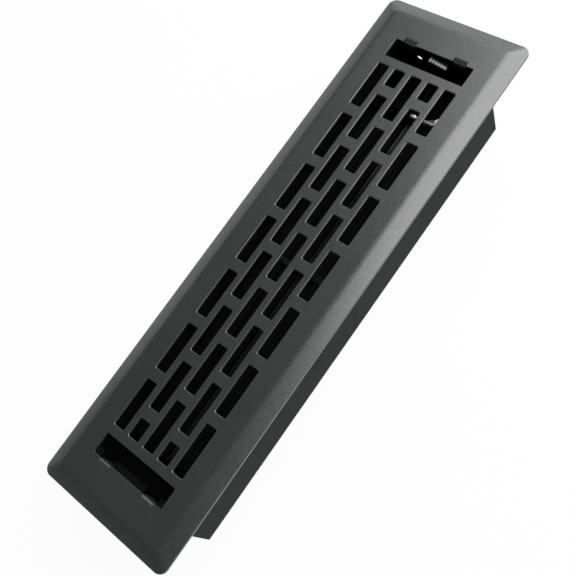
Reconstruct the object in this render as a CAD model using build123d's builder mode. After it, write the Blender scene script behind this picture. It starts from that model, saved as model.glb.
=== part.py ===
"""Floor register: a slotted faceplate on a sheet steel box, with a two-row damper and its lever.

Frame: X across the register, Y along it with the lever end at +Y, Z up. The origin is the middle of
the floor plane, on which the faceplate's rim rests. Sizes are in millimetres and degrees.
"""
import math
import os

from build123d import *

os.makedirs("parts", exist_ok=True)

# Duct opening that the box drops into
opening_width = 57.15
opening_length = 304.8
box_clearance = 0.6

# Faceplate, which laps over the floor round the opening
side_overlap = 17.425
end_overlap = 15.1
plate_sheet = 1.6
plate_corner_radius = 5.0
rim_height = 4.5
rim_lip = 1.6
rim_slope_width = 8.5
rim_bend_radius = 10.0

# Brick pattern of slots
column_pitch = 11.03
row_pitch = 36.6
slot_width = 7.1
slot_length = 29.65

# Windows at the two ends, with the tabs bent down from their outer edges
window_side_margin = 0.7
window_end_margin = 8.7
window_width = 12.2
window_gap = 5.3
tab_width = 8.2
tab_spacing = 32.8
tab_relief = 0.15
lever_tab_radius = 3.2
plain_tab_radius = 1.9
tab_drop = 8.0
tab_corner_radius = 3.0

# Box
wall_sheet = 0.8
wall_bend_radius = 1.2
box_drop = 68.0
lever_end_step = 1.5
side_flange = 7.0
ear_length = 12.0
ear_headroom = 0.4
end_flange_gap = 0.6
plain_flange_reach = 13.0
lever_flange_reach = 5.0
flange_notch_margin = 1.0
end_hole_radius = 1.8
end_hole_spacing = 40.8
end_hole_depth = 26.2

# Damper
axis_depth = 23.0
blade_sheet = 0.8
blade_gap = 0.75
blade_lip = 2.2
blade_end_gap = 0.4
shaft_radius = 1.5
seat_clearance = 0.02
bead_clearance = 0.05
running_clearance = 0.06

# Brackets that carry the shafts, placed by the middle of their sheet
bearing_setback = 21.2
plain_setback = 6.1
bracket_drop = 9.0
bearing_rise = 3.5
end_bearing_rise = 9.7
bracket_side_fold = 6.0
bracket_fold_inset = 4.0
bracket_end_gap = 0.3
middle_lip = 3.0

# Cranks and wire links
crank_radius = 6.6
right_hook_angle = 50.0
left_hook_angle = 87.0
crank_sheet = 1.2
crank_hub_radius = 3.2
crank_eye_radius = 1.9
link_radius = 1.0
link_stand_off = 0.8
link_side_gap = 0.4
hook_tail = 1.7

# Hexagonal push-on clips on the shafts
clip_radius = 3.4
clip_sheet = 0.8
clip_gap = 0.3
clip_tail = 0.6

# Lever
grip_swing_gap = 0.5
lever_lean = 10.5
lever_sheet = 1.6
lever_hub_radius = 4.5
lever_arm_width = 6.0
lever_paddle_width = 9.0
grip_top_depth = 3.2
grip_width = 12.0
grip_depth = 3.0
grip_height = 7.0
grip_corner_radius = 0.8
rib_count = 6
rib_pitch = 1.9
rib_width = 1.0
rib_height = 0.5
washer_height = 1.4
washer_radius = 4.0
washer_slack = 0.1

# Heights
plate_top = rim_height
plate_under = plate_top - plate_sheet
axis_z = plate_top - axis_depth
lever_box_drop = box_drop + lever_end_step

# Box faces
inner_bend = wall_bend_radius - wall_sheet / 2
side_face = opening_width / 2 - box_clearance
side_inner = side_face - wall_sheet
ear_inner = side_inner - wall_sheet
end_face = opening_length / 2 - box_clearance
end_inner = end_face - wall_sheet

# Faceplate outline, its windows over the ends of the box, and the slots that fit between them
plate_width = opening_width + 2 * side_overlap
plate_length = opening_length + 2 * end_overlap
window_span = 2 * (ear_inner - window_side_margin)
window_outer = end_inner - window_end_margin
window_inner = window_outer - window_width
slot_room = 2 * (window_inner - window_gap)
row_count = math.floor((slot_room - slot_length) / row_pitch) + 1
column_count = math.floor((window_span - slot_width) / (2 * column_pitch)) + 1
slot_end = (row_count - 1) / 2 * row_pitch + slot_length / 2
short_slot = slot_length - row_pitch / 2

# Blades and shafts
blade_width = ear_inner - 2 * blade_gap
axis_x = blade_gap + blade_width / 2
bead_radius = shaft_radius + bead_clearance
shaft_hole_radius = shaft_radius + running_clearance
seat_radius = shaft_radius + seat_clearance
end_clear = wall_sheet / 2 + blade_end_gap
bearing_reach = window_inner - bearing_setback
plain_reach = window_inner - plain_setback
blade_reach = bearing_reach - end_clear
plain_blade_reach = plain_reach - end_clear

# Row of linkage pieces beyond the lever bearing plate
link_y = bearing_reach + wall_sheet / 2 + link_stand_off + link_radius
crank_near = link_y + link_radius + link_side_gap
crank_far = crank_near + crank_sheet
hook_end = crank_far + hook_tail
shaft_end = crank_far + clip_tail

# Lever places, worked back from the tabs that the grip swings past
lever_y = window_outer - grip_swing_gap - rib_height - grip_depth / 2
lever_far = lever_y + lever_sheet / 2
end_bearing_near = lever_far + washer_height + 2 * washer_slack
end_bearing_y = end_bearing_near + wall_sheet / 2
end_bearing_far = end_bearing_near + wall_sheet
grip_top = axis_depth - grip_top_depth
paddle_top = grip_top - lever_sheet


def across(y):
    """Plane across the register at length y: sketch x is X, sketch y is Z, and it faces -Y."""
    return Plane.XZ.offset(-y)


def hook_place(axis, angle):
    """X and Z of a crank's hook hole, for a crank that turns about the shaft at this X."""
    turn = math.radians(angle)
    return axis + crank_radius * math.cos(turn), axis_z + crank_radius * math.sin(turn)


def folded_sheet(points):
    """Draw a folded sheet's section about its middle line, in the sketch that is open."""
    with BuildLine() as middle_line:
        FilletPolyline(*points, radius=wall_bend_radius)
    trace(middle_line.wires(), line_width=wall_sheet)


def rim_section(half_width, skin):
    """Draw the faceplate's section in the open sketch, at a depth of skin below its outer face."""
    slope = math.atan2(rim_height - rim_lip, rim_slope_width)
    crease = half_width - rim_slope_width - skin * math.tan(slope / 2)
    edge = half_width - skin
    edge_top = rim_lip - skin * math.tan((math.pi / 2 - slope) / 2)
    corners = [(edge, -skin), (edge, edge_top), (crease, rim_height - skin)]
    mirrored = [(-x, z) for x, z in reversed(corners)]
    with BuildLine() as outline:
        Polyline(*corners, *mirrored, close=True)
    face = make_face(outline.edges())
    fillet(face.vertices().group_by(Axis.Y)[-1], rim_bend_radius - skin)


def rim_shell(skin):
    """Add the faceplate's outer form in the open part, at a depth of skin below its outer face."""
    with BuildSketch(Plane.XZ) as cross_section:
        rim_section(plate_width / 2, skin)
    extrude(cross_section.sketch, amount=plate_length, both=True)
    with BuildSketch(Plane.YZ) as long_section:
        rim_section(plate_length / 2, skin)
    extrude(long_section.sketch, amount=plate_width, both=True, mode=Mode.INTERSECT)
    with BuildSketch(Plane.XY) as outline:
        RectangleRounded(plate_width - 2 * skin, plate_length - 2 * skin, plate_corner_radius - skin)
    extrude(outline.sketch, amount=2 * rim_height, both=True, mode=Mode.INTERSECT)


def finish(piece, name):
    """Label a finished piece and write its file."""
    piece.part.label = name
    export_step(piece.part, f"parts/{name}.step")


# Faceplate
with BuildPart() as plate_hollow:
    rim_shell(plate_sheet)


def bent_tab(tab, radius):
    """Bend a tab in the open part towards -Y, with this outer radius, from its root on the X axis."""
    with BuildSketch(Plane.YZ) as side_view:
        with BuildLine() as outline:
            CenterArc((0, -radius), radius, 90, 90)
            CenterArc((0, -radius), radius - plate_sheet, 90, 90)
            Line((0, 0), (0, -plate_sheet))
            Polyline(
                (-radius, -radius),
                (-radius, -tab_drop),
                (plate_sheet - radius, -tab_drop),
                (plate_sheet - radius, -radius),
            )
        make_face(outline.edges())
    extrude(side_view.sketch, amount=tab_width / 2, both=True)
    fillet(tab.edges().filter_by(Axis.Y).group_by(Axis.Z)[0], tab_corner_radius)


with BuildPart() as lever_tab:
    bent_tab(lever_tab, lever_tab_radius)

with BuildPart() as plain_tab:
    bent_tab(plain_tab, plain_tab_radius)

with BuildPart() as faceplate:
    rim_shell(0)
    add(plate_hollow.part, mode=Mode.SUBTRACT)
    with BuildSketch(Plane.XY.offset(plate_top)):
        with GridLocations(2 * column_pitch, row_pitch, column_count, row_count):
            Rectangle(slot_width, slot_length)
        with GridLocations(2 * column_pitch, row_pitch, column_count - 1, row_count - 1):
            Rectangle(slot_width, slot_length)
        with GridLocations(2 * column_pitch, 2 * slot_end - short_slot, column_count - 1, 2):
            Rectangle(slot_width, short_slot)
        with GridLocations(0, window_inner + window_outer, 1, 2):
            Rectangle(window_span, window_width)
        for tab_x in (-tab_spacing / 2, tab_spacing / 2):
            with Locations((tab_x, window_outer)):
                Rectangle(tab_width + 2 * tab_relief, 2 * lever_tab_radius)
            with Locations((tab_x, -window_outer)):
                Rectangle(tab_width + 2 * tab_relief, 2 * plain_tab_radius)
    extrude(amount=-2 * plate_sheet, mode=Mode.SUBTRACT)
    for tab_x in (-tab_spacing / 2, tab_spacing / 2):
        with Locations(Location((tab_x, window_outer + lever_tab_radius, plate_top), (0, 0, 0))):
            add(lever_tab.part)
        with Locations(Location((tab_x, -window_outer - plain_tab_radius, plate_top), (0, 0, 180))):
            add(plain_tab.part)
finish(faceplate, "faceplate")

# Side walls, each with a flange turned out under the faceplate
flange_middle = plate_under - wall_sheet / 2
for side, side_name in ((-1, "left"), (1, "right")):
    wall_middle = side_face - wall_sheet / 2
    with BuildPart() as side_wall:
        with BuildSketch(Plane.XZ):
            folded_sheet([
                (side * (side_face + side_flange), flange_middle),
                (side * wall_middle, flange_middle),
                (side * wall_middle, -box_drop),
            ])
        extrude(amount=end_face, both=True)
    finish(side_wall, f"{side_name}_side_wall")


def end_wall_form(direction, drop, flange_reach):
    """Make an end wall in the open part: its web, two ears inside the side walls and a top flange."""
    web_middle = direction * (end_face - wall_sheet / 2)
    ear_middle = side_inner - wall_sheet / 2
    ear_tip = direction * (end_face - ear_length)
    ear_top = plate_under - wall_sheet - inner_bend - ear_headroom
    with BuildSketch(Plane.XY.offset(-drop)) as wall_plan:
        folded_sheet([
            (-ear_middle, ear_tip),
            (-ear_middle, web_middle),
            (ear_middle, web_middle),
            (ear_middle, ear_tip),
        ])
    extrude(wall_plan.sketch, amount=drop + ear_top)
    with BuildSketch(Plane.YZ) as flange_section:
        folded_sheet([
            (direction * (end_face - flange_reach), flange_middle),
            (web_middle, flange_middle),
            (web_middle, ear_top - wall_sheet),
        ])
    extrude(flange_section.sketch, amount=ear_inner - end_flange_gap, both=True)


# Lever end wall, stepped deeper, with two small holes
with BuildPart() as lever_end_wall:
    end_wall_form(1, lever_box_drop, lever_flange_reach)
    with BuildSketch(across(end_face)):
        with Locations((0, plate_top - end_hole_depth)):
            with GridLocations(end_hole_spacing, 0, 2, 1):
                Circle(end_hole_radius)
    extrude(amount=2 * wall_sheet, both=True, mode=Mode.SUBTRACT)
finish(lever_end_wall, "lever_end_wall")

# Plain end wall, its flange notched round the faceplate's tabs
with BuildPart() as plain_end_wall:
    end_wall_form(-1, box_drop, plain_flange_reach)
    notch_end = window_outer + plain_tab_radius + flange_notch_margin
    notch_start = end_face - plain_flange_reach - flange_notch_margin
    with BuildSketch(Plane.XY.offset(plate_under)):
        with Locations((0, -(notch_start + notch_end) / 2)):
            with GridLocations(tab_spacing, 0, 2, 1):
                Rectangle(tab_width + 2 * flange_notch_margin, notch_end - notch_start)
    extrude(amount=-2 * wall_sheet, mode=Mode.SUBTRACT)
finish(plain_end_wall, "plain_end_wall")


def shaft_bores(y, holes):
    """Cut running holes for the shafts at these X through an upright sheet in the open part."""
    with BuildSketch(across(y)) as bores:
        with Locations(*[(x, axis_z) for x in holes]):
            Circle(shaft_hole_radius)
    extrude(bores.sketch, amount=wall_sheet, both=True, mode=Mode.SUBTRACT)


def bracket_form(points, fold_start, fold_end):
    """Make a bracket in the open part: uprights and a shelf between the ears, with folded sides."""
    fold_middle = ear_inner - wall_sheet / 2
    with BuildSketch(Plane.YZ) as long_section:
        folded_sheet(points)
    extrude(long_section.sketch, amount=ear_inner, both=True)
    fold_tip = shelf_z - bracket_side_fold
    with BuildSketch(across(fold_end)) as cross_section:
        folded_sheet([
            (-fold_middle, fold_tip),
            (-fold_middle, shelf_z),
            (fold_middle, shelf_z),
            (fold_middle, fold_tip),
        ])
    extrude(cross_section.sketch, amount=fold_end - fold_start)


# Plain bracket: one upright and a shelf that closes the box out to the plain end wall
shelf_z = axis_z - bracket_drop
with BuildPart() as plain_bracket:
    shelf_end = end_inner - inner_bend - bracket_end_gap
    bracket_form(
        [(-plain_reach, axis_z + bearing_rise), (-plain_reach, shelf_z), (-shelf_end, shelf_z)],
        -shelf_end,
        -plain_reach - bracket_fold_inset,
    )
    shaft_bores(-plain_reach, (-axis_x, axis_x))
finish(plain_bracket, "plain_bracket")

# Lever bracket: a channel whose two uprights carry the lever shaft
with BuildPart() as lever_bracket:
    bracket_form(
        [
            (bearing_reach, axis_z + bearing_rise),
            (bearing_reach, shelf_z),
            (end_bearing_y, shelf_z),
            (end_bearing_y, axis_z + end_bearing_rise),
        ],
        bearing_reach + bracket_fold_inset,
        end_bearing_y - bracket_fold_inset,
    )
    shaft_bores(bearing_reach, (-axis_x, 0, axis_x))
    shaft_bores(end_bearing_y, (0,))
finish(lever_bracket, "lever_bracket")

# Middle bearing plate: a flat web with lips turned over at its top and against the side walls
with BuildPart() as middle_bearing_plate:
    lip_z = axis_z + bearing_rise - wall_sheet / 2
    fold_middle = side_inner - wall_sheet / 2
    with BuildSketch(Plane.YZ):
        folded_sheet([(middle_lip, lip_z), (0, lip_z), (0, shelf_z)])
    extrude(amount=side_inner, both=True)
    with BuildSketch(Plane.XY.offset(shelf_z)):
        folded_sheet([
            (-fold_middle, middle_lip),
            (-fold_middle, 0),
            (fold_middle, 0),
            (fold_middle, middle_lip),
        ])
    extrude(amount=lip_z - shelf_z)
    shaft_bores(0, (-axis_x, axis_x))
finish(middle_bearing_plate, "middle_bearing_plate")


def clip_on_shaft(x, y_far):
    """Make a push-on clip on a shaft in the open part, from y_far back towards -Y."""
    with BuildSketch(across(y_far)) as clip_outline:
        with Locations((x, axis_z)):
            RegularPolygon(clip_radius, 6)
            Circle(seat_radius, mode=Mode.SUBTRACT)
    extrude(clip_outline.sketch, amount=clip_sheet)


def blade_section(x):
    """Draw a blade's section in the open sketch: two wings, a bead over the shaft and two edge lips."""
    with Locations((x, axis_z)):
        Circle(bead_radius + blade_sheet)
        Rectangle(blade_width, 2 * blade_width, align=(Align.CENTER, Align.MAX), mode=Mode.SUBTRACT)
        Rectangle(blade_width, blade_sheet, align=(Align.CENTER, Align.MAX))
        Circle(bead_radius, mode=Mode.SUBTRACT)
    lip_spacing = blade_width - blade_sheet
    with Locations((x, axis_z)):
        with GridLocations(lip_spacing, 0, 2, 1):
            Rectangle(blade_sheet, blade_sheet + blade_lip, align=(Align.CENTER, Align.MAX))


def crank_plate(x, angles):
    """Make a crank in the open part: a hub on the shaft and an eye at each hook angle."""
    hooks = [hook_place(x, angle) for angle in angles]
    with BuildSketch(across(crank_far)) as plate_outline:
        with Locations((x, axis_z)):
            Circle(crank_hub_radius)
        with Locations(*hooks):
            Circle(crank_eye_radius)
        make_hull()
        with Locations((x, axis_z)):
            Circle(seat_radius, mode=Mode.SUBTRACT)
        with Locations(*hooks):
            Circle(link_radius + running_clearance, mode=Mode.SUBTRACT)
    extrude(plate_outline.sketch, amount=crank_sheet)


# Two rows of the damper: a shaft, a blade on each half of it, a crank and an end clip
plain_clip_near = -(plain_reach + wall_sheet / 2 + clip_gap)
plain_shaft_end = plain_clip_near - clip_sheet - clip_tail
blade_halves = (
    ("plain", -plain_blade_reach, -end_clear),
    ("lever", middle_lip + blade_end_gap, blade_reach),
)
for side, side_name, hook_angle in ((-1, "left", left_hook_angle), (1, "right", right_hook_angle)):
    row_x = side * axis_x

    with BuildPart() as shaft:
        with BuildSketch(across(shaft_end)):
            with Locations((row_x, axis_z)):
                Circle(shaft_radius)
        extrude(amount=shaft_end - plain_shaft_end)
    finish(shaft, f"{side_name}_shaft")

    for half_name, half_start, half_end in blade_halves:
        with BuildPart() as blade:
            with BuildSketch(across(half_end)):
                blade_section(row_x)
            extrude(amount=half_end - half_start)
        finish(blade, f"{side_name}_blade_{half_name}_half")

    with BuildPart() as crank:
        crank_plate(row_x, [hook_angle])
    finish(crank, f"{side_name}_crank")

    with BuildPart() as shaft_clip:
        clip_on_shaft(row_x, plain_clip_near)
    finish(shaft_clip, f"{side_name}_shaft_clip")

# Wire links from the lever crank to each blade crank, hooked through the eyes behind the bracket
for side, side_name, hook_angle in ((-1, "left", left_hook_angle), (1, "right", right_hook_angle)):
    lever_hook_x, hook_z = hook_place(0, hook_angle)
    blade_hook_x, hook_z = hook_place(side * axis_x, hook_angle)

    with BuildPart() as link:
        with BuildLine():
            Polyline(
                (lever_hook_x, hook_end, hook_z),
                (lever_hook_x, link_y, hook_z),
                (blade_hook_x, link_y, hook_z),
                (blade_hook_x, hook_end, hook_z),
            )
        with BuildSketch(across(hook_end)):
            with Locations((lever_hook_x, hook_z)):
                Circle(link_radius)
        sweep(transition=Transition.RIGHT)
    finish(link, f"{side_name}_link")

# Lever shaft, through both uprights of the lever bracket
lever_clip_far = end_bearing_far + clip_gap + clip_sheet
lever_shaft_end = lever_clip_far + clip_tail
with BuildPart() as lever_shaft:
    with BuildSketch(across(lever_shaft_end)):
        with Locations((0, axis_z)):
            Circle(shaft_radius)
    extrude(amount=lever_shaft_end - bearing_reach + wall_sheet / 2)
finish(lever_shaft, "lever_shaft")

with BuildPart() as lever_crank:
    crank_plate(0, [right_hook_angle, left_hook_angle])
finish(lever_crank, "lever_crank")

with BuildPart() as lever_shaft_clip:
    clip_on_shaft(0, lever_clip_far)
finish(lever_shaft_clip, "lever_shaft_clip")

# Lever arm, leaning towards +X at rest
lean = math.radians(lever_lean)
lever_plane = Plane(
    origin=(0, lever_far, axis_z),
    x_dir=(math.cos(lean), 0, -math.sin(lean)),
    z_dir=(0, -1, 0),
)
grip_bottom = grip_top - grip_height
with BuildPart() as lever_arm:
    with BuildSketch(lever_plane):
        Circle(lever_hub_radius)
        Rectangle(lever_arm_width, paddle_top, align=(Align.CENTER, Align.MIN))
        with Locations((0, grip_bottom)):
            Rectangle(lever_paddle_width, paddle_top - grip_bottom, align=(Align.CENTER, Align.MIN))
        Circle(seat_radius, mode=Mode.SUBTRACT)
    extrude(amount=lever_sheet)
finish(lever_arm, "lever_arm")

# Ribbed thumb grip, a moulded cap pushed over the arm's paddle
grip_plane = lever_plane.offset(lever_sheet / 2)
with BuildPart() as lever_grip:
    with BuildSketch(grip_plane):
        with Locations((0, grip_bottom)):
            Rectangle(grip_width, grip_height, align=(Align.CENTER, Align.MIN))
    extrude(amount=grip_depth / 2, both=True)
    grip_sides = lever_grip.edges().filter_by(Axis.Y)
    fillet(grip_sides, grip_corner_radius)
    with BuildSketch(grip_plane):
        with Locations((0, grip_top)):
            with GridLocations(rib_pitch, 0, rib_count, 1):
                Rectangle(rib_width, grip_height - grip_corner_radius, align=(Align.CENTER, Align.MAX))
    extrude(amount=grip_depth / 2 + rib_height, both=True)
    with BuildSketch(grip_plane):
        with Locations((0, grip_bottom)):
            paddle_room = lever_paddle_width + 2 * bead_clearance
            paddle_height = paddle_top - grip_bottom + bead_clearance
            Rectangle(paddle_room, paddle_height, align=(Align.CENTER, Align.MIN))
    extrude(amount=lever_sheet / 2 + bead_clearance, both=True, mode=Mode.SUBTRACT)
finish(lever_grip, "lever_grip")

# Friction washer between the lever arm and the bracket's end upright
with BuildPart() as friction_washer:
    with BuildSketch(across(lever_far + washer_slack + washer_height)):
        with Locations((0, axis_z)):
            Circle(washer_radius)
            Circle(shaft_radius + bead_clearance, mode=Mode.SUBTRACT)
    extrude(amount=washer_height)
finish(friction_washer, "friction_washer")
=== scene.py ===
"""Looks of a steel floor register: pressed slotted faceplate, sheet box, linked damper."""
import logging
import math
from collections.abc import Sequence
from dataclasses import dataclass, field
from enum import Enum

import bmesh
import bpy
from bmesh.types import BMEdge, BMesh, BMFace, BMVert
from mathutils import Matrix, Vector


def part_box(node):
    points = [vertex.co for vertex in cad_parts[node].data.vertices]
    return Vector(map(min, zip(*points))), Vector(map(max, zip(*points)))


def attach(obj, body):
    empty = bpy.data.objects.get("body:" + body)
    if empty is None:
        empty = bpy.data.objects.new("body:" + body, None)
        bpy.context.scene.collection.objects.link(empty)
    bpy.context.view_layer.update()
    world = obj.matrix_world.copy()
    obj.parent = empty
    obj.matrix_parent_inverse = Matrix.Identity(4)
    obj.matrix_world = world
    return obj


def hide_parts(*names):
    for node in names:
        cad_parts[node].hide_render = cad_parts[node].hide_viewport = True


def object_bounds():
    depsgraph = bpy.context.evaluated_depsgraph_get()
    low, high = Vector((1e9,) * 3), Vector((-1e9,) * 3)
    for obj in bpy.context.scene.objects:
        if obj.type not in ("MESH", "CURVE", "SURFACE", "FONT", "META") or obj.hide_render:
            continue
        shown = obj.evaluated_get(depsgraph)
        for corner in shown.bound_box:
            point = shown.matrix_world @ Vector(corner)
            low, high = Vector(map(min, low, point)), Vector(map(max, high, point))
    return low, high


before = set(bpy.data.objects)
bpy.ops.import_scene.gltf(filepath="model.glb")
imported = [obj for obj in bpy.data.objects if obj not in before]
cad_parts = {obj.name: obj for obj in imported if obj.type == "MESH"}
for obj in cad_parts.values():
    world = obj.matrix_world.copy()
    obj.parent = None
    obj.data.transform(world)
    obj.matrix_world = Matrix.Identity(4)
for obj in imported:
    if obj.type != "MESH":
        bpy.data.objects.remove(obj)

log = logging.getLogger("floor_register")

MM = 0.001  # metres in a millimetre
TOLERANCE = 0.01  # millimetres within which two places count as one
WHITE = (1.0, 1.0, 1.0, 1.0)
NODE_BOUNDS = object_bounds()

Colour = tuple[float, float, float]
Socket = bpy.types.NodeSocket


class Slot(str, Enum):
    """Material slots named in the part's record."""

    PAINT = "charcoal_paint"
    BLACK = "black_paint"
    ZINC = "zinc_steel"
    PLASTIC = "black_plastic"


class Body(str, Enum):
    """Bodies that the new pieces ride on."""

    FRAME = "frame"
    LEVER = "lever"
    LEFT_LINK = "left_link"
    RIGHT_LINK = "right_link"


class Side(float, Enum):
    """Sign of a side along an axis."""

    MINUS = -1.0
    PLUS = 1.0


def mm(x: float, y: float, z: float) -> Vector:
    """Vector in metres from millimetres."""
    return Vector((x, y, z)) * MM


# Shader tools


class Graph:
    """Short hand for building a node tree."""

    column_width = 220
    # Places of the colour sockets in Blender's mix node
    mix_first, mix_second, mix_result = 6, 7, 2

    def __init__(self, tree: bpy.types.NodeTree) -> None:
        """Take the tree that the nodes go into."""
        self.tree = tree
        self.column = 0

    def node(self, kind: str, **settings: object) -> bpy.types.Node:
        """Add a node.

        Args:
            kind: Blender's identifier of the node.
            settings: attributes of the node to set.

        Returns:
            The new node.
        """
        made = self.tree.nodes.new(kind)
        made.location = (self.column_width * self.column, 0)
        self.column += 1
        for name, value in settings.items():
            setattr(made, name, value)
        return made

    def link(self, source: Socket, target: Socket) -> None:
        """Join two sockets."""
        self.tree.links.new(source, target)

    def feed(self, target: Socket, value: Socket | float) -> None:
        """Give a socket a number or the value of another socket."""
        if isinstance(value, (int, float)):
            target.default_value = value
        else:
            self.link(value, target)

    def split(self, vector: Socket) -> bpy.types.Node:
        """Add a node that has a vector's X, Y and Z as outputs."""
        made = self.node("ShaderNodeSeparateXYZ")
        self.link(vector, made.inputs[0])
        return made

    def noise(self, vector: Socket, scale: Socket | float, detail: float = 2.0,
              roughness: float = 0.5) -> Socket:
        """Add a noise texture.

        Args:
            vector: coordinates to read.
            scale: cells per metre, a socket or a number.
            detail: octaves.
            roughness: weight of the finer octaves.

        Returns:
            The noise value's socket.
        """
        texture = self.node("ShaderNodeTexNoise")
        texture.inputs["Detail"].default_value = detail
        texture.inputs["Roughness"].default_value = roughness
        self.feed(texture.inputs["Scale"], scale)
        self.link(vector, texture.inputs["Vector"])
        return texture.outputs["Fac"]

    def span(self, value: Socket, low: float, high: float, to_low: float, to_high: float) -> Socket:
        """Map a value from one range to another, clamped.

        Args:
            value: socket to read.
            low: start of the range read.
            high: end of the range read.
            to_low: result at the start.
            to_high: result at the end.

        Returns:
            The mapped value's socket.
        """
        mapped = self.node("ShaderNodeMapRange")
        mapped.inputs["From Min"].default_value = low
        mapped.inputs["From Max"].default_value = high
        mapped.inputs["To Min"].default_value = to_low
        mapped.inputs["To Max"].default_value = to_high
        self.link(value, mapped.inputs["Value"])
        return mapped.outputs["Result"]

    def math(self, operation: str, first: Socket, second: Socket | float) -> Socket:
        """Add a math node.

        Args:
            operation: Blender's name of the operation.
            first: first operand.
            second: second operand, a socket or a number.

        Returns:
            The result's socket.
        """
        made = self.node("ShaderNodeMath", operation=operation)
        self.link(first, made.inputs[0])
        self.feed(made.inputs[1], second)
        return made.outputs[0]

    def mix(self, factor: Socket, first: Socket | Colour, second: Colour) -> Socket:
        """Lay a second colour over a first.

        Args:
            factor: share of the second colour.
            first: colour at 0, a socket or a linear colour.
            second: linear colour at 1.

        Returns:
            The mixed colour's socket.
        """
        made = self.node("ShaderNodeMix", data_type="RGBA")
        self.link(factor, made.inputs[0])
        made.inputs[self.mix_second].default_value = (*second, 1.0)
        if isinstance(first, tuple):
            made.inputs[self.mix_first].default_value = (*first, 1.0)
        else:
            self.link(first, made.inputs[self.mix_first])
        return made.outputs[self.mix_result]


class SharedEffect:
    """A shader node group for the finishes, places in millimetres and scales in cells per metre."""

    cache: dict[str, bpy.types.NodeTree] = {}

    def __init__(self, name: str, outputs: Sequence[str]) -> None:
        """Name the group and its outputs.

        Args:
            name: name of the group.
            outputs: names of its float outputs.
        """
        self.name = name
        self.output_names = outputs

    def build(self, graph: Graph, vector: Socket, inputs: bpy.types.Node) -> dict[str, Socket]:
        """Fill the group; each effect has its own."""
        raise NotImplementedError

    def inputs(self) -> dict[str, float]:
        """Names and defaults of the float inputs."""
        return {}

    def tree(self) -> bpy.types.NodeTree:
        """Build the group once.

        Returns:
            The group's node tree.
        """
        if self.name in SharedEffect.cache:
            return SharedEffect.cache[self.name]
        group = bpy.data.node_groups.new(self.name, "ShaderNodeTree")
        for name, default in self.inputs().items():
            socket = group.interface.new_socket(name, in_out="INPUT", socket_type="NodeSocketFloat")
            socket.default_value = default
        for name in self.output_names:
            group.interface.new_socket(name, in_out="OUTPUT", socket_type="NodeSocketFloat")
        graph = Graph(group)
        entry = graph.node("NodeGroupInput")
        place = graph.node("ShaderNodeTexCoord").outputs["Object"]
        results = self.build(graph, place, entry)
        leave = graph.node("NodeGroupOutput")
        for name, socket in results.items():
            graph.link(socket, leave.inputs[name])
        SharedEffect.cache[self.name] = group
        return group

    def use(self, graph: Graph, **values: float) -> bpy.types.Node:
        """Put the group into a material.

        Args:
            graph: graph of the material.
            values: inputs of the group to set.

        Returns:
            The group node.
        """
        made = graph.node("ShaderNodeGroup")
        made.node_tree = self.tree()
        for name, value in values.items():
            made.inputs[name].default_value = value
        return made


class CoatGrain(SharedEffect):
    """Fine grain and slow flow of a sprayed or plated coat."""

    fine_detail: float = 3.0
    fine_roughness: float = 0.6
    low: float = 0.3
    high: float = 0.7

    def __init__(self) -> None:
        """Name the group's outputs."""
        super().__init__("coat_grain", ("Grain", "Flow"))

    def inputs(self) -> dict[str, float]:
        """Cells per metre of the grain and of the flow."""
        return {"Grain Scale": 1300.0, "Flow Scale": 22.0}

    def build(self, graph: Graph, vector: Socket, inputs: bpy.types.Node) -> dict[str, Socket]:
        """Two noises, one fine and one slow.

        Args:
            graph: graph of the group.
            vector: object coordinates.
            inputs: the group's input node.

        Returns:
            The outputs by name.
        """
        fine = graph.noise(vector, inputs.outputs["Grain Scale"], self.fine_detail, self.fine_roughness)
        slow = graph.noise(vector, inputs.outputs["Flow Scale"])
        return {"Grain": graph.span(fine, self.low, self.high, 0.0, 1.0),
                "Flow": graph.span(slow, self.low, self.high, 0.0, 1.0)}


class SettledDust(SharedEffect):
    """Light dust that lies on faces that look up, in slow patches."""

    upward_start: float = 0.2
    patch_scale: float = 14.0
    patch_low: float = 0.4
    patch_high: float = 0.7
    patch_least: float = 0.25
    speck_scale: float = 900.0
    speck_detail: float = 1.0
    speck_low: float = 0.52
    speck_high: float = 0.68

    def __init__(self) -> None:
        """Name the group's output."""
        super().__init__("settled_dust", ("Dust",))

    def build(self, graph: Graph, vector: Socket, inputs: bpy.types.Node) -> dict[str, Socket]:
        """Upward share of the normal times two sizes of noise.

        Args:
            graph: graph of the group.
            vector: object coordinates.
            inputs: the group's input node, not used here.

        Returns:
            The outputs by name.
        """
        normal = graph.node("ShaderNodeTexCoord").outputs["Normal"]
        upward = graph.span(graph.split(normal).outputs["Z"], self.upward_start, 1.0, 0.0, 1.0)
        slow = graph.noise(vector, self.patch_scale)
        patches = graph.span(slow, self.patch_low, self.patch_high, self.patch_least, 1.0)
        fine = graph.noise(vector, self.speck_scale, self.speck_detail)
        specks = graph.span(fine, self.speck_low, self.speck_high, 0.0, 1.0)
        return {"Dust": graph.math("MULTIPLY", graph.math("MULTIPLY", upward, patches), specks)}


class BoxFaces(SharedEffect):
    """Tells what lies inside the box from the outer faces of its walls and what is round it."""

    side: float = 27.575
    end: float = 151.4
    edge: float = 0.1

    def __init__(self) -> None:
        """Name the group's output."""
        super().__init__("box_faces", ("Inside",))

    def build(self, graph: Graph, vector: Socket, inputs: bpy.types.Node) -> dict[str, Socket]:
        """Compare the place with the middle of the side and end walls' sheet.

        Args:
            graph: graph of the group.
            vector: object coordinates.
            inputs: the group's input node, not used here.

        Returns:
            The outputs by name.
        """
        split = graph.split(vector)
        masks = []
        for axis, face in (("X", self.side), ("Y", self.end)):
            out = graph.math("ABSOLUTE", split.outputs[axis], 0.0)
            masks.append(graph.span(out, (face - self.edge) * MM, (face + self.edge) * MM, 1.0, 0.0))
        return {"Inside": graph.math("MINIMUM", *masks)}


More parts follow.
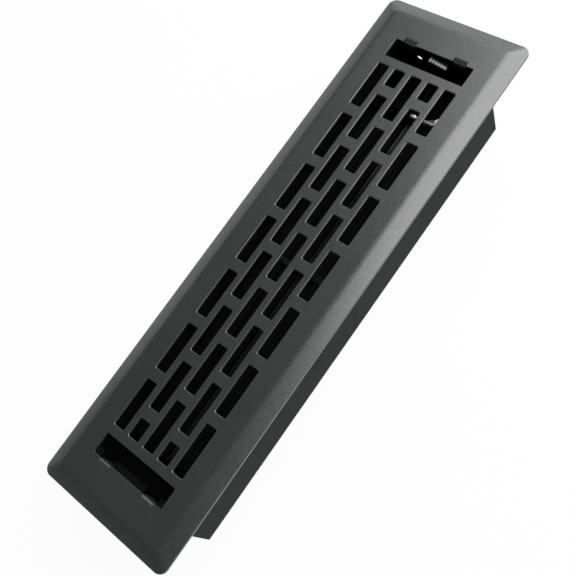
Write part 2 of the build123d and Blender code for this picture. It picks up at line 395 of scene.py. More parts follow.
class RimFootHighlight(SharedEffect):
    """Marks the foot of the faceplate's rim for a painted highlight: a light line where the lip's lower edge
    catches the light.
    """

    side: float = 45.2
    end: float = 166.7
    low: float = 0.8
    high: float = 1.1

    def __init__(self) -> None:
        """Name the group's output."""
        super().__init__("rim_foot_highlight", ("Edge",))

    def build(self, graph: Graph, vector: Socket, inputs: bpy.types.Node) -> dict[str, Socket]:
        """Low places near the outline.

        Args:
            graph: graph of the group.
            vector: object coordinates.
            inputs: the group's input node, not used here.

        Returns:
            The outputs by name.
        """
        split = graph.split(vector)
        masks = []
        for axis, face in (("X", self.side), ("Y", self.end)):
            out = graph.math("ABSOLUTE", split.outputs[axis], 0.0)
            masks.append(graph.math("GREATER_THAN", out, face * MM))
        low = graph.span(split.outputs["Z"], self.low * MM, self.high * MM, 1.0, 0.0)
        return {"Edge": graph.math("MULTIPLY", graph.math("MAXIMUM", *masks), low)}


class BladeEdgeHighlight(SharedEffect):
    """Marks a blade's upper inner edge and a fainter band beside it for a painted highlight of the edge's lit
    line, most so towards the crank.
    """

    start: float = 0.7
    end: float = 1.3
    band_end: float = 6.0
    band_share: float = 0.14
    low: float = -18.9
    high: float = -18.7
    fade_start: float = 55.0
    fade_end: float = 105.0
    fade_share: float = 0.12
    patch_scale: float = 90.0
    patch_low: float = 0.35
    patch_high: float = 0.6
    patch_least: float = 0.55

    def __init__(self) -> None:
        """Name the group's output."""
        super().__init__("blade_edge_highlight", ("Edge",))

    def build(self, graph: Graph, vector: Socket, inputs: bpy.types.Node) -> dict[str, Socket]:
        """Upper faces near the blade's inner edge, broken up by a slow noise.

        Args:
            graph: graph of the group.
            vector: object coordinates.
            inputs: the group's input node, not used here.

        Returns:
            The outputs by name.
        """
        split = graph.split(vector)
        out = graph.math("ABSOLUTE", split.outputs["X"], 0.0)
        near = graph.span(out, self.start * MM, self.end * MM, 1.0, 0.0)
        high = graph.span(split.outputs["Z"], self.low * MM, self.high * MM, 0.0, 1.0)
        band = graph.span(out, self.end * MM, self.band_end * MM, self.band_share, 0.0)
        edge = graph.math("MULTIPLY", graph.math("MAXIMUM", near, band), high)
        fade = (self.fade_start * MM, self.fade_end * MM)
        along = graph.span(split.outputs["Y"], *fade, self.fade_share, 1.0)
        slow = graph.noise(vector, self.patch_scale)
        patches = graph.span(slow, self.patch_low, self.patch_high, self.patch_least, 1.0)
        return {"Edge": graph.math("MULTIPLY", graph.math("MULTIPLY", edge, along), patches)}


GRAIN = CoatGrain()
DUST = SettledDust()
FACES = BoxFaces()
FOOT_HIGHLIGHT = RimFootHighlight()
BLADE_HIGHLIGHT = BladeEdgeHighlight()


@dataclass(frozen=True)
class Finish:
    """A surface finish with a fine grain in colour, roughness and relief, its depth in metres."""

    name: str
    dark: Colour
    light: Colour
    rough_low: float
    rough_high: float
    metallic: float = 0.0
    specular: float = 0.5
    ior: float = 1.5
    grain_scale: float = 1300.0
    relief: float = 0.1
    relief_depth: float = 0.0002
    dust_colour: Colour = (0.2, 0.2, 0.19)
    dust_share: float = 0.1
    # Colour of the faces inside the box: painted shade.
    inside: Colour | None = None
    # Colour of the rim's foot: a painted highlight along the lip's lower edge.
    foot: Colour | None = None
    # Colour of the blade's inner edge: a painted highlight.
    blade_highlight: Colour | None = None

    def material(self) -> bpy.types.Material:
        """Build the material once.

        Returns:
            The finish's material.
        """
        made = bpy.data.materials.get(self.name)
        if made is not None:
            return made
        made = bpy.data.materials.new(self.name)
        made.use_nodes = True
        made.node_tree.nodes.clear()
        graph = Graph(made.node_tree)
        grain = GRAIN.use(graph, **{"Grain Scale": self.grain_scale})
        dust = DUST.use(graph)
        shader = graph.node("ShaderNodeBsdfPrincipled")
        shader.inputs["Metallic"].default_value = self.metallic
        shader.inputs["Specular IOR Level"].default_value = self.specular
        shader.inputs["IOR"].default_value = self.ior
        tone = graph.mix(grain.outputs["Flow"], self.dark, self.light)
        share = graph.math("MULTIPLY", dust.outputs["Dust"], self.dust_share)
        colour = graph.mix(share, tone, self.dust_colour)
        rough = graph.span(grain.outputs["Grain"], 0.0, 1.0, self.rough_low, self.rough_high)
        # Inside the box the colour turns near black as painted shade, and the roughness goes to 1.
        if self.inside is not None:
            inside = FACES.use(graph).outputs["Inside"]
            colour = graph.mix(inside, colour, self.inside)
            rough = graph.math("MAXIMUM", rough, inside)
        # Painted highlights: a light line at the rim's foot and one along the blade's inner edge.
        for effect, painted_highlight in ((FOOT_HIGHLIGHT, self.foot), (BLADE_HIGHLIGHT, self.blade_highlight)):
            if painted_highlight is not None:
                colour = graph.mix(effect.use(graph).outputs["Edge"], colour, painted_highlight)
        graph.link(colour, shader.inputs["Base Color"])
        graph.link(rough, shader.inputs["Roughness"])
        bump = graph.node("ShaderNodeBump")
        bump.inputs["Strength"].default_value = self.relief
        bump.inputs["Distance"].default_value = self.relief_depth
        graph.link(grain.outputs["Grain"], bump.inputs["Height"])
        graph.link(bump.outputs["Normal"], shader.inputs["Normal"])
        leave = graph.node("ShaderNodeOutputMaterial")
        graph.link(shader.outputs[0], leave.inputs["Surface"])
        return made


# The foot colour is a painted highlight along the rim's lip.
POWDER_COAT = Finish(
    "charcoal_powder_coat", dark=(0.0195, 0.0215, 0.0217), light=(0.0245, 0.0268, 0.027),
    rough_low=0.25, rough_high=0.40, specular=1.0, ior=1.65, relief=0.13, dust_share=0.03,
    foot=(0.07, 0.07, 0.07))
# The near-black inside colour is painted shade inside the box.
BOX_COAT = Finish(
    "charcoal_box_coat", dark=(0.0095, 0.0104, 0.0105), light=(0.0145, 0.0157, 0.0158),
    rough_low=0.55, rough_high=0.72, specular=0.13, relief=0.25, dust_share=0.03,
    inside=(0.003, 0.003, 0.003))
# The black dip, blade and satin black coats are black paint set darker than real black paint: partly their
# own colour, partly painted shade inside the box.
BLACK_DIP = Finish(
    "black_dip_coat", dark=(0.0035, 0.0035, 0.0035), light=(0.0055, 0.0055, 0.0055),
    rough_low=0.65, rough_high=0.82, specular=0.05, relief=0.15, dust_share=0.004)
# The light edge colour is a painted highlight along the blade's inner edge.
BLADE_COAT = Finish(
    "blade_coat_painted_highlight", dark=(0.0045, 0.0047, 0.0047), light=(0.007, 0.0073, 0.0073),
    rough_low=0.60, rough_high=0.78, specular=0.06, relief=0.15, dust_share=0.01, blade_highlight=(0.4, 0.4, 0.4))
SATIN_BLACK = Finish(
    "satin_black_coat", dark=(0.006, 0.006, 0.006), light=(0.010, 0.010, 0.010),
    rough_low=0.38, rough_high=0.52, specular=0.3, relief=0.15, dust_share=0.01)
BAR_COAT = Finish(
    "matte_bar_coat", dark=(0.010, 0.0105, 0.0105), light=(0.016, 0.0165, 0.0165),
    rough_low=0.58, rough_high=0.74, specular=0.1, relief=0.15, dust_share=0.01)
ZINC_PLATE = Finish(
    "zinc_plate", dark=(0.86, 0.87, 0.87), light=(0.93, 0.94, 0.93),
    rough_low=0.24, rough_high=0.36, metallic=0.75, grain_scale=700.0, relief=0.08, dust_share=0.05)
PLASTIC = Finish(
    "black_matte_plastic", dark=(0.010, 0.010, 0.011), light=(0.016, 0.016, 0.017),
    rough_low=0.20, rough_high=0.32, specular=1.0, ior=1.8, grain_scale=2400.0, relief=0.1,
    dust_share=0.03)

FINISHES: dict[Slot, Finish] = {Slot.PAINT: BOX_COAT, Slot.BLACK: BLACK_DIP, Slot.ZINC: ZINC_PLATE,
                                Slot.PLASTIC: PLASTIC}


# Modelling tools


def verts_of(items: Sequence[object]) -> list[BMVert]:
    """Vertices among the items that a bmesh operator returns."""
    return [item for item in items if isinstance(item, BMVert)]


def edges_of(items: Sequence[object]) -> list[BMEdge]:
    """Edges among the items that a bmesh operator returns."""
    return [item for item in items if isinstance(item, BMEdge)]


def edges_at(verts: Sequence[BMVert]) -> list[BMEdge]:
    """Edges that meet at any of the vertices."""
    return list({edge for vert in verts for edge in vert.link_edges})


def extend(bm: BMesh, edges: Sequence[BMEdge]) -> tuple[list[BMVert], list[BMEdge]]:
    """Grow a strip of faces from edges.

    Args:
        bm: bmesh that the edges are in.
        edges: edges to start from.

    Returns:
        The vertices and the edges on the strip's far side, still in the place of the first ones.
    """
    grown = bmesh.ops.extrude_edge_only(bm, edges=edges)["geom"]
    return verts_of(grown), edges_of(grown)


def add_object(name: str, data: bpy.types.ID) -> bpy.types.Object:
    """Put a new object into the scene."""
    made = bpy.data.objects.new(name, data)
    bpy.context.scene.collection.objects.link(made)
    return made


class Shape:
    """A bmesh in the making and the steps it is built from, sizes in millimetres."""

    edge_steps = 3
    corner_steps = 6

    def __init__(self) -> None:
        """Start empty."""
        self.bm: BMesh = bmesh.new()

    def box(self, low: Sequence[float], high: Sequence[float]) -> list[BMVert]:
        """Add a box between two corners.

        Args:
            low: lower corner.
            high: upper corner.

        Returns:
            The box's vertices.
        """
        size = [b - a for a, b in zip(low, high)]
        middle = [(a + b) / 2 for a, b in zip(low, high)]
        place = Matrix.Translation(mm(*middle)) @ Matrix.Diagonal((*mm(*size), 1.0))
        return bmesh.ops.create_cube(self.bm, size=1.0, matrix=place)["verts"]

    def bevel(self, items: Sequence[BMEdge] | Sequence[BMVert], radius: float, steps: int,
              affect: str) -> None:
        """Round edges or corners.

        Args:
            items: edges, or the vertices at the corners.
            radius: width of the rounding.
            steps: steps across it.
            affect: EDGES or VERTICES.
        """
        bmesh.ops.bevel(self.bm, geom=list(items), offset=radius * MM, offset_type="OFFSET", segments=steps,
                        profile=0.5, affect=affect, clamp_overlap=True, material=-1)

    def soften(self, edges: Sequence[BMEdge], radius: float) -> None:
        """Round edges."""
        self.bevel(edges, radius, self.edge_steps, "EDGES")

    def round_corners(self, verts: Sequence[BMVert], radius: float) -> None:
        """Round the corners of a sheet's outline."""
        self.bevel(verts, radius, self.corner_steps, "VERTICES")

    def piece(self, name: str, body: Body, finish: Finish, smooth: float = 40.0) -> bpy.types.Object:
        """Close the bmesh into an object that rides a body.

        Args:
            name: name of the piece.
            body: body that it moves with.
            finish: finish of its surface.
            smooth: edges flatter than this many degrees shade smooth.

        Returns:
            The new object.
        """
        mesh = bpy.data.meshes.new(name)
        for face in self.bm.faces:
            face.smooth = True
        for edge in self.bm.edges:
            if len(edge.link_faces) == 2:
                edge.smooth = edge.calc_face_angle() < math.radians(smooth)
        self.bm.to_mesh(mesh)
        self.bm.free()
        mesh.materials.append(finish.material())
        made = add_object(name, mesh)
        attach(made, body.value)
        return made


def finish_sheet(target: bpy.types.Object, thickness: float, edge: float, steps: int = 4) -> None:
    """Give a one-sided sheet its thickness and round the edges marked with a bevel weight.

    Args:
        target: object whose faces lie on the sheet's outer side.
        thickness: sheet in millimetres, added on the inner side.
        edge: width of the rounded edge in millimetres.
        steps: steps across the rounded edge.
    """
    solid = target.modifiers.new("sheet", "SOLIDIFY")
    solid.thickness = thickness * MM
    solid.offset = -1.0
    solid.use_even_offset = True
    solid.use_quality_normals = True
    soft = target.modifiers.new("edges", "BEVEL")
    soft.width = edge * MM
    soft.segments = steps
    soft.limit_method = "WEIGHT"
    soft.use_clamp_overlap = False
    soft.loop_slide = False
    soft.harden_normals = True


# Sub-assemblies


@dataclass
class Faceplate:
    """Pressed faceplate: slots in a brick pattern, sloped rim, windows with bent-down tabs.

    Sizes and places are in millimetres.
    """

    half_width: float = 46.0
    half_length: float = 167.5
    top: float = 4.5
    sheet: float = 1.6
    edge_round: float = 0.5
    rim_fall: float = 2.9
    rim_run: float = 8.5
    bend_radius: float = 10.0
    edge_radius: float = 0.45
    outer_corner: float = 5.0
    inner_corner: float = 1.4
    border: float = 0.8
    slot_width: float = 7.1
    slot_length: float = 29.65
    short_slot: float = 11.35
    short_slot_y: float = 118.95
    slot_corner: float = 0.9
    main_columns: tuple[int, ...] = (-2, 0, 2)
    half_columns: tuple[int, ...] = (-1, 1)
    column_pitch: float = 11.03
    end_row: int = 3
    row_pitch: float = 36.6
    window_half: float = 25.675
    window_inner: float = 130.1
    window_outer: float = 142.3
    window_corner: float = 0.7
    window_share: float = 0.35
    tab_x: float = 16.4
    tab_width: float = 8.2
    tab_relief: float = 0.15
    lever_tab_radius: float = 3.2
    plain_tab_radius: float = 1.9
    tab_foot: float = -3.5
    tab_corner: float = 3.0
    bend_steps: int = 8
    lip_steps: int = 5
    shape: Shape = field(default_factory=Shape)

    @property
    def slope(self) -> float:
        """Angle of the rim below the level, in radians."""
        return math.atan2(self.rim_fall, self.rim_run)

    @property
    def bend_start(self) -> float:
        """Distance from the outer edge in to where the rim starts to bend."""
        return self.rim_run + self.bend_radius * math.tan(self.slope / 2)

    @property
    def reach(self) -> float:
        """Distance from the flat field's edge out to the outer edge."""
        return self.border + self.bend_start

    def tab_radius(self, side: Side) -> float:
        """Outer radius of the tabs' bends at an end of the plate."""
        return self.lever_tab_radius if side is Side.PLUS else self.plain_tab_radius

    def loop(self, centre: Sequence[float], size: Sequence[float], corner: float) -> list[BMEdge]:
        """Add the outline of a rounded rectangle.

        Args:
            centre: middle of the rectangle.
            size: its width and length.
            corner: radius of its corners.

        Returns:
            The outline's edges.
        """
        bm = self.shape.bm
        spread = Matrix.Diagonal((size[0] * MM, size[1] * MM, 1.0, 1.0))
        place = Matrix.Translation(mm(*centre, self.top)) @ spread
        made = bmesh.ops.create_grid(bm, x_segments=1, y_segments=1, size=0.5, matrix=place)["verts"]
        return self.open_outline(made[0].link_faces[0], made, corner)

    def open_outline(self, face: BMFace, corners: Sequence[BMVert], radius: float) -> list[BMEdge]:
        """Round the corners of a face and take the face out of its outline.

        Args:
            face: face that gives the outline.
            corners: its corners to round.
            radius: radius of the rounding.

        Returns:
            The outline's edges.
        """
        bm = self.shape.bm
        known = set(bm.edges) - set(face.edges)
        self.shape.round_corners(corners, radius)
        edges = [edge for edge in bm.edges if edge not in known]
        faces = {near for edge in edges for near in edge.link_faces}
        bmesh.ops.delete(bm, geom=list(faces), context="FACES_ONLY")
        return edges

    def slot_outlines(self) -> list[BMEdge]:
        """Outlines of all slots: three main columns and two half-pitch columns between them.

        Returns:
            The outlines' edges.
        """
        size = (self.slot_width, self.slot_length)
        short = (self.slot_width, self.short_slot)
        rows = range(-self.end_row, self.end_row + 1)
        edges: list[BMEdge] = []
        for column in self.main_columns:
            x = column * self.column_pitch
            for row in rows:
                edges += self.loop((x, row * self.row_pitch), size, self.slot_corner)
        for column in self.half_columns:
            x = column * self.column_pitch
            for row in rows[:-1]:
                edges += self.loop((x, (row + 0.5) * self.row_pitch), size, self.slot_corner)
            for side in Side:
                edges += self.loop((x, side * self.short_slot_y), short, self.slot_corner)
        return edges

    def window_outline(self, side: Side) -> list[BMEdge]:
        """Outline of a window, notched where its tabs are bent down.

        Args:
            side: end of the plate.

        Returns:
            The outline's edges.
        """
        bm = self.shape.bm
        near, far = self.window_inner, self.window_outer
        root = far + self.tab_radius(side)
        half = self.tab_width / 2
        notch = half + self.tab_relief
        points = [(-self.window_half, near), (self.window_half, near), (self.window_half, far)]
        for x in (self.tab_x, -self.tab_x):
            points += [(x + notch, far), (x + notch, root), (x + half, root)]
            points += [(x - half, root), (x - notch, root), (x - notch, far)]
        points.append((-self.window_half, far))
        corners = [bm.verts.new(mm(x, side * y, self.top)) for x, y in points]
        face = bm.faces.new(corners)
        return self.open_outline(face, corners[:3] + corners[-1:], self.window_corner)

    def rim_stations(self) -> list[tuple[float, float]]:
        """Steps out and down along the rim, from the border to the foot of the lip.

        Returns:
            Distance out from the field's edge and height of each step.
        """
        slope, steep = self.slope, math.pi / 2
        stations = [(self.border, self.top)]
        for step in range(1, self.bend_steps + 1):
            angle = slope * step / self.bend_steps
            fall = self.bend_radius * (1 - math.cos(angle))
            stations.append((self.border + self.bend_radius * math.sin(angle), self.top - fall))
        centre = self.reach - self.edge_radius
        tangent = self.edge_radius * math.tan((steep - slope) / 2)
        height = self.top - self.rim_fall - tangent
        for step in range(self.lip_steps + 1):
            angle = slope + (steep - slope) * step / self.lip_steps
            out = centre + self.edge_radius * math.sin(angle)
            stations.append((out, height + self.edge_radius * math.cos(angle)))
        stations.append((self.reach, 0.0))
        return stations

    def corner(self, out: float) -> tuple[Vector, float]:
        """Corner of the outline at a step along the rim.

        Args:
            out: distance out from the field's edge.

        Returns:
            Centre of the corner's arc at +X +Y, and its radius.
        """
        radius = self.inner_corner + (self.outer_corner - self.inner_corner) * out / self.reach
        inset = self.reach - out + radius
        return mm(self.half_width - inset, self.half_length - inset, 0.0), radius

    def press_rim(self, outline: list[BMEdge]) -> None:
        """Carry the field's edge outwards along the rim, with corners that open out.

        Args:
            outline: outer edges of the flat field.
        """
        bm = self.shape.bm
        edges = outline
        centre, radius = self.corner(0.0)
        level = self.top
        for out, height in self.rim_stations():
            verts, edges = extend(bm, edges)
            next_centre, next_radius = self.corner(out)
            growth = next_radius / radius
            for x in Side:
                for y in Side:
                    sign = Vector((x, y, 0.0))
                    group = [vert for vert in verts if vert.co.x * x > 0 and vert.co.y * y > 0]
                    pivot = Matrix.Translation(-(centre * sign))
                    bmesh.ops.scale(bm, vec=(growth, growth, 1.0), space=pivot, verts=group)
                    shift = (next_centre - centre) * sign + mm(0.0, 0.0, height - level)
                    bmesh.ops.translate(bm, vec=shift, verts=group)
            centre, radius, level = next_centre, next_radius, height

    def on_root(self, vert: BMVert, x: float, root_y: float) -> bool:
        """Whether a vertex lies on the line that the tab at x is bent down from."""
        beside = abs(vert.co.x / MM - x) < self.tab_width / 2 + TOLERANCE
        return beside and abs(vert.co.y / MM - root_y) < TOLERANCE

    def bend_tab(self, x: float, side: Side) -> None:
        """Bend a tab down from its root at a window's outer edge.

        Args:
            x: middle of the tab.
            side: end of the plate.
        """
        bm = self.shape.bm
        radius = self.tab_radius(side)
        root_y = side * (self.window_outer + radius)
        root = next(edge for edge in bm.edges if all(self.on_root(vert, x, root_y) for vert in edge.verts))
        centre = mm(x, root_y, self.top - radius)
        spun = bmesh.ops.spin(bm, geom=[root, *root.verts], cent=centre, axis=(1.0, 0.0, 0.0),
                              angle=side * math.pi / 2, steps=self.bend_steps, use_merge=False)["geom_last"]
        feet, _ = extend(bm, edges_of(spun))
        for vert in feet:
            vert.co.z = self.tab_foot * MM
        self.shape.round_corners(feet, self.tab_corner)

    def in_tab(self, vert: BMVert) -> bool:
        """Whether a vertex belongs to a tab or to the notch round it."""
        x, y, z = (abs(vert.co.x) / MM, abs(vert.co.y) / MM, vert.co.z / MM)
        beside = x < self.window_half and y < self.window_outer + 2 * self.lever_tab_radius
        return beside and (y > self.window_outer + TOLERANCE or z < self.top - TOLERANCE)

    def mark_edges(self) -> None:
        """Mark the sheet's free edges for rounding; those of the tabs and their notches stay sharp."""
        bm = self.shape.bm
        weight = bm.edges.layers.float.new("bevel_weight_edge")
        for edge in bm.edges:
            if not edge.is_boundary:
                continue
            edge.smooth = not any(self.in_tab(vert) for vert in edge.verts)
            slot = all(abs(vert.co.y) / MM < self.window_inner - TOLERANCE for vert in edge.verts)
            if edge.smooth:
                edge[weight] = 1.0 if slot else self.window_share

    def build(self) -> bpy.types.Object:
        """Build the plate from its outlines.

        Returns:
            The finished piece.
        """
        bm = self.shape.bm
        size = (2 * (self.half_width - self.reach), 2 * (self.half_length - self.reach))
        outer = self.loop((0.0, 0.0), size, self.inner_corner)
        holes = self.slot_outlines()
        for side in Side:
            holes += self.window_outline(side)
        bmesh.ops.triangle_fill(bm, use_beauty=True, use_dissolve=False, edges=outer + holes)
        bmesh.ops.recalc_face_normals(bm, faces=bm.faces)
        if next(iter(bm.faces)).normal.z < 0:
            bmesh.ops.reverse_faces(bm, faces=bm.faces)
        self.press_rim(outer)
        for side in Side:
            for x in (-self.tab_x, self.tab_x):
                self.bend_tab(x, side)
        self.mark_edges()
        made = self.shape.piece("faceplate_sheet", Body.FRAME, POWDER_COAT)
        finish_sheet(made, self.sheet, self.edge_round)
        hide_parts("faceplate")
        log.info("faceplate: %d faces before thickness", len(made.data.polygons))
        return made


@dataclass
class WireLink:
    """Bent wire from the lever's crank to a blade's crank, hooked at both ends, in millimetres."""

    node: str
    body: Body
    slot: Slot
    radius: float = 1.0
    bend: float = 1.5
    tip: float = 0.25
    sides: int = 20
    bend_steps: int = 8
    headed: bool = False
    head_back: float = 2.7
    head_front: float = 1.0
    head_half: float = 1.2
    head_rise: float = 1.1
    head_round: float = 0.45
    shape: Shape = field(default_factory=Shape)

    def press_head(self, elbow: Vector) -> None:
        """Press the elbow at the lever's crank into a flat head.

        Args:
            elbow: middle of the wire at its first bend, in metres.
        """
        x, y, z = elbow / MM
        low = (x - self.head_back, y - self.head_half, z - self.radius)
        high = (x + self.head_front, y + self.head_half, z + self.head_rise)
        self.shape.soften(edges_at(self.shape.box(low, high)), self.head_round)

    def carry(self, ring: list[BMEdge], way: Vector) -> list[BMEdge]:
        """Draw the wire on in a straight line.

        Args:
            ring: edges at the wire's end.
            way: how far to go.

        Returns:
            The edges at the new end.
        """
        bm = self.shape.bm
        verts, edges = extend(bm, ring)
        bmesh.ops.translate(bm, vec=way, verts=verts)
        return edges

    def turn(self, ring: list[BMEdge], centre: Vector) -> list[BMEdge]:
        """Bend the wire a quarter turn about an upright axis.

        Args:
            ring: edges at the wire's end.
            centre: centre of the bend.

        Returns:
            The edges at the new end.
        """
        spun = bmesh.ops.spin(self.shape.bm, geom=ring, cent=centre, axis=(0.0, 0.0, 1.0), angle=math.pi / 2,
                              steps=self.bend_steps, use_merge=False)["geom_last"]
        return edges_of(spun)

    def build(self) -> bpy.types.Object:
        """Draw the wire from hook to hook inside its node's box.

        Returns:
            The finished piece.
        """
        bm = self.shape.bm
        low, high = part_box(self.node)
        radius, bend = self.radius * MM, self.bend * MM
        left, right = low.x + radius, high.x - radius
        span_y, height = low.y + radius, (low.z + high.z) / 2
        upright = Matrix.Translation((left, high.y, height)) @ Matrix.Rotation(math.pi / 2, 4, "X")
        start = bmesh.ops.create_circle(bm, cap_ends=True, segments=self.sides, radius=radius, matrix=upright)
        first = edges_at(start["verts"])
        leg = span_y + bend - high.y
        ring = self.carry(first, Vector((0.0, leg, 0.0)))
        ring = self.turn(ring, Vector((left + bend, span_y + bend, height)))
        ring = self.carry(ring, Vector((right - left - 2 * bend, 0.0, 0.0)))
        ring = self.turn(ring, Vector((right - bend, span_y + bend, height)))
        ring = self.carry(ring, Vector((0.0, -leg, 0.0)))
        bmesh.ops.contextual_create(bm, geom=ring)
        bmesh.ops.recalc_face_normals(bm, faces=bm.faces)
        self.shape.soften(first + ring, self.tip)
        if self.headed:
            self.press_head(Vector((left, span_y, height)))
        made = self.shape.piece(f"{self.node}_wire", self.body, FINISHES[self.slot])
        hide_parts(self.node)
        log.info("%s: wire of %d faces", self.node, len(made.data.polygons))
        return made


@dataclass
class LeverGrip:
    """Moulded thumb grip on the lever's paddle, ribbed over its top and faces.

    Sizes are in millimetres, heights above the lever's axis, the lean in degrees.
    """

    axis_z: float = -18.5
    lean: float = 10.5
    middle_y: float = 139.8
    top: float = 19.8
    width: float = 12.0
    height: float = 7.0
    depth: float = 3.0
    groove: float = 0.7
    rib_count: int = 6
    rib_pitch: float = 1.9
    rib_width: float = 1.0
    rib_height: float = 0.5
    rib_round: float = 0.35
    corner: float = 0.5
    shape: Shape = field(default_factory=Shape)

    def build(self) -> bpy.types.Object:
        """Build the grip upright, then lean it with the lever.

        Returns:
            The finished piece.
        """
        bm = self.shape.bm
        half = self.depth / 2
        low = (-self.width / 2, self.middle_y - half, self.top - self.height)
        high = (self.width / 2, self.middle_y + half, self.top - self.groove)
        self.shape.box(low, high)
        self.shape.soften(bm.edges, self.corner)
        reach = half + self.rib_height
        for index in range(self.rib_count):
            x = (index - (self.rib_count - 1) / 2) * self.rib_pitch
            low = (x - self.rib_width / 2, self.middle_y - reach, self.top - self.height + self.corner)
            high = (x + self.rib_width / 2, self.middle_y + reach, self.top)
            self.shape.soften(edges_at(self.shape.box(low, high)), self.rib_round)
        lean = Matrix.Rotation(math.radians(self.lean), 4, "Y")
        place = Matrix.Translation(mm(0.0, 0.0, self.axis_z)) @ lean
        bmesh.ops.transform(bm, matrix=place, verts=bm.verts)
        made = self.shape.piece("lever_grip_ribbed", Body.LEVER, PLASTIC)
        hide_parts("lever_grip")
        log.info("lever grip: %d faces", len(made.data.polygons))
        return made


class CarriedNodes:
    """Nodes of the frame whose shape is already right; they take a finish by their slots."""

    replaced = ("faceplate", "left_link", "right_link", "lever_grip")
    special: dict[str, Finish] = {
        "left_shaft": SATIN_BLACK,
        "right_shaft": SATIN_BLACK,
        "middle_bearing_plate": BAR_COAT,
        # The right blade's halves take the coat with the painted edge highlight.
        "right_blade_lever_half": BLADE_COAT,
        "right_blade_plain_half": BLADE_COAT,
    }

    def dress(self) -> None:
        """Give each node that stays its finish."""
        for name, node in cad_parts.items():
            if name in self.replaced:
                continue
            for slot in node.material_slots:
                finish = self.special.get(name, FINISHES[Slot(slot.material.name)])
                slot.material = finish.material()
            log.info("node %s keeps its shape", name)


# Stage


@dataclass(frozen=True)
class Viewpoint:
    """Camera of the picture: place, aim and near limit in millimetres, roll in degrees."""

    eye: tuple[float, float, float] = (198.1, -68.7, 371.3)
    aim: tuple[float, float, float] = (11.353, -13.982, 4.5)
    roll: float = -39.819
    lens: float = 49.275
    near: float = 10.0

    def build(self) -> bpy.types.Object:
        """Add the camera.

        Returns:
            The camera object.
        """
        data = bpy.data.cameras.new("view")
        data.lens = self.lens
        data.clip_start = self.near * MM
        made = add_object("view", data)
        eye, aim = mm(*self.eye), mm(*self.aim)
        turn = (aim - eye).to_track_quat("-Z", "Y").to_matrix().to_4x4()
        made.matrix_world = Matrix.Translation(eye) @ turn @ Matrix.Rotation(math.radians(self.roll), 4, "Z")
        bpy.context.scene.camera = made
        return made


@dataclass(frozen=True)
class SoftBox:
    """A rectangular studio light aimed at the object, in metres and watts."""

    name: str
    place: tuple[float, float, float]
    size: tuple[float, float]
    power: float

    def build(self) -> bpy.types.Object:
        """Add the light.

        Returns:
            The light object.
        """
        data = bpy.data.lights.new(self.name, "AREA")
        data.shape = "RECTANGLE"
        data.size, data.size_y = self.size
        data.energy = self.power
        made = add_object(self.name, data)
        made.location = self.place
        made.rotation_euler = (-Vector(self.place)).to_track_quat("-Z", "Y").to_euler()
        return made


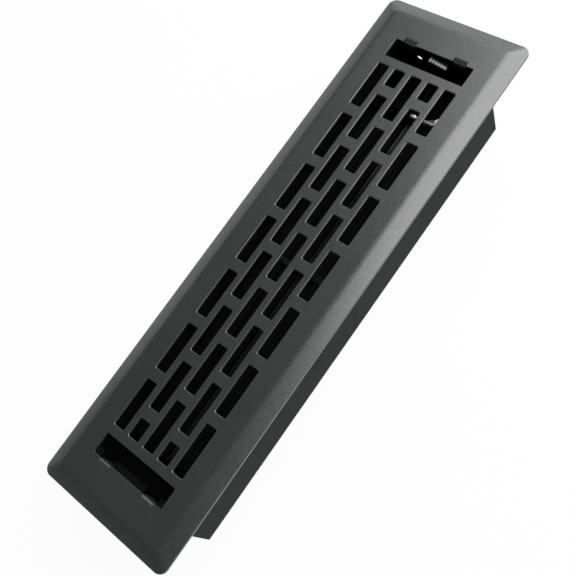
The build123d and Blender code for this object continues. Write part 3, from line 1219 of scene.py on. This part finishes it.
@dataclass
class Studio:
    """White floor that turns up into a backdrop, dim surroundings and soft lights, in metres."""

    floor: float
    floor_tone: float = 0.95
    reach: float = 4.0
    turn_up: float = 0.8
    backdrop: float = 1.2
    sides: int = 64
    turn_steps: int = 8
    world_level: float = 0.13
    shadow_share: float = 0.05
    lights: tuple[SoftBox, ...] = (
        SoftBox("key", (0.47, 0.93, 0.79), (1.9, 1.9), 38.0),
        SoftBox("back_strip", (-0.72, 1.1, 0.4), (0.7, 0.4), 0.8),
        SoftBox("left_strip", (-1.2, 0.22, 0.4), (0.9, 0.5), 0.6),
    )

    def seen(self, graph: Graph) -> Socket:
        """Mask of the rays that show the surroundings: straight, mirrored or through glass.

        Args:
            graph: graph that the mask goes into.

        Returns:
            The mask's socket.
        """
        path = graph.node("ShaderNodeLightPath")
        shown = graph.math("MAXIMUM", path.outputs["Is Camera Ray"], path.outputs["Is Glossy Ray"])
        return graph.math("MAXIMUM", shown, path.outputs["Is Transmission Ray"])

    def white_floor(self) -> bpy.types.Material:
        """Floor that reads white round the box, keeps a light shadow and is plain matt inside the box.

        Returns:
            The floor's material.
        """
        made = bpy.data.materials.new("studio_floor")
        made.use_nodes = True
        made.node_tree.nodes.clear()
        graph = Graph(made.node_tree)
        seen = self.seen(graph)
        matt = graph.node("ShaderNodeBsdfDiffuse")
        matt.inputs["Color"].default_value = (self.floor_tone, self.floor_tone, self.floor_tone, 1.0)
        glow = graph.node("ShaderNodeEmission")
        glow.inputs["Color"].default_value = WHITE
        both = graph.node("ShaderNodeMixShader")
        around = graph.span(FACES.use(graph).outputs["Inside"], 0.0, 1.0, 1.0 - self.shadow_share, 0.0)
        graph.link(graph.math("MULTIPLY", seen, around), both.inputs[0])
        graph.link(matt.outputs[0], both.inputs[1])
        graph.link(glow.outputs[0], both.inputs[2])
        leave = graph.node("ShaderNodeOutputMaterial")
        graph.link(both.outputs[0], leave.inputs["Surface"])
        return made

    def surroundings(self) -> None:
        """Even, dim light from all sides."""
        world = bpy.data.worlds.new("studio_world")
        world.use_nodes = True
        world.node_tree.nodes.clear()
        graph = Graph(world.node_tree)
        light = graph.node("ShaderNodeBackground")
        light.inputs["Color"].default_value = WHITE
        light.inputs["Strength"].default_value = self.world_level
        leave = graph.node("ShaderNodeOutputWorld")
        graph.link(light.outputs[0], leave.inputs["Surface"])
        bpy.context.scene.world = world

    def sweep(self) -> BMesh:
        """Round floor with its edge turned up into a backdrop.

        Returns:
            The sweep's bmesh.
        """
        bm = bmesh.new()
        made = bmesh.ops.create_circle(bm, cap_ends=True, segments=self.sides, radius=self.reach)["verts"]
        edges = edges_at(made)
        for step in range(1, self.turn_steps + 1):
            angle = math.pi / 2 * step / self.turn_steps
            out = self.reach + self.turn_up * math.sin(angle)
            edges = self.raise_edge(bm, edges, out, self.turn_up * (1 - math.cos(angle)))
        self.raise_edge(bm, edges, self.reach + self.turn_up, self.backdrop)
        for face in bm.faces:
            face.smooth = True
        return bm

    def raise_edge(self, bm: BMesh, edges: list[BMEdge], out: float, height: float) -> list[BMEdge]:
        """Carry the sweep's edge to a new radius and height.

        Args:
            bm: the sweep's bmesh.
            edges: edges of its rim.
            out: new radius.
            height: new height above the floor.

        Returns:
            The edges of the new rim.
        """
        verts, grown = extend(bm, edges)
        growth = out / verts[0].co.xy.length
        bmesh.ops.scale(bm, vec=(growth, growth, 1.0), verts=verts)
        bmesh.ops.translate(bm, vec=(0.0, 0.0, height - verts[0].co.z), verts=verts)
        return grown

    def build(self) -> None:
        """Add floor, surroundings and lights."""
        bm = self.sweep()
        bmesh.ops.translate(bm, vec=(0.0, 0.0, self.floor), verts=bm.verts)
        mesh = bpy.data.meshes.new("studio_floor")
        bm.to_mesh(mesh)
        bm.free()
        mesh.materials.append(self.white_floor())
        floor = add_object("studio_floor", mesh)
        self.surroundings()
        for light in self.lights:
            light.build()
        bpy.context.scene.view_settings.view_transform = "Standard"


def main() -> None:
    """Build every piece, dress the nodes that stay and set the stage."""
    logging.basicConfig(level=logging.INFO, format="%(name)s: %(message)s")
    Faceplate().build()
    WireLink("left_link", Body.LEFT_LINK, Slot.BLACK).build()
    WireLink("right_link", Body.RIGHT_LINK, Slot.ZINC, headed=True).build()
    LeverGrip().build()
    CarriedNodes().dress()
    Studio(floor=NODE_BOUNDS[0][2]).build()
    Viewpoint().build()


if __name__ == "__main__":
    main()
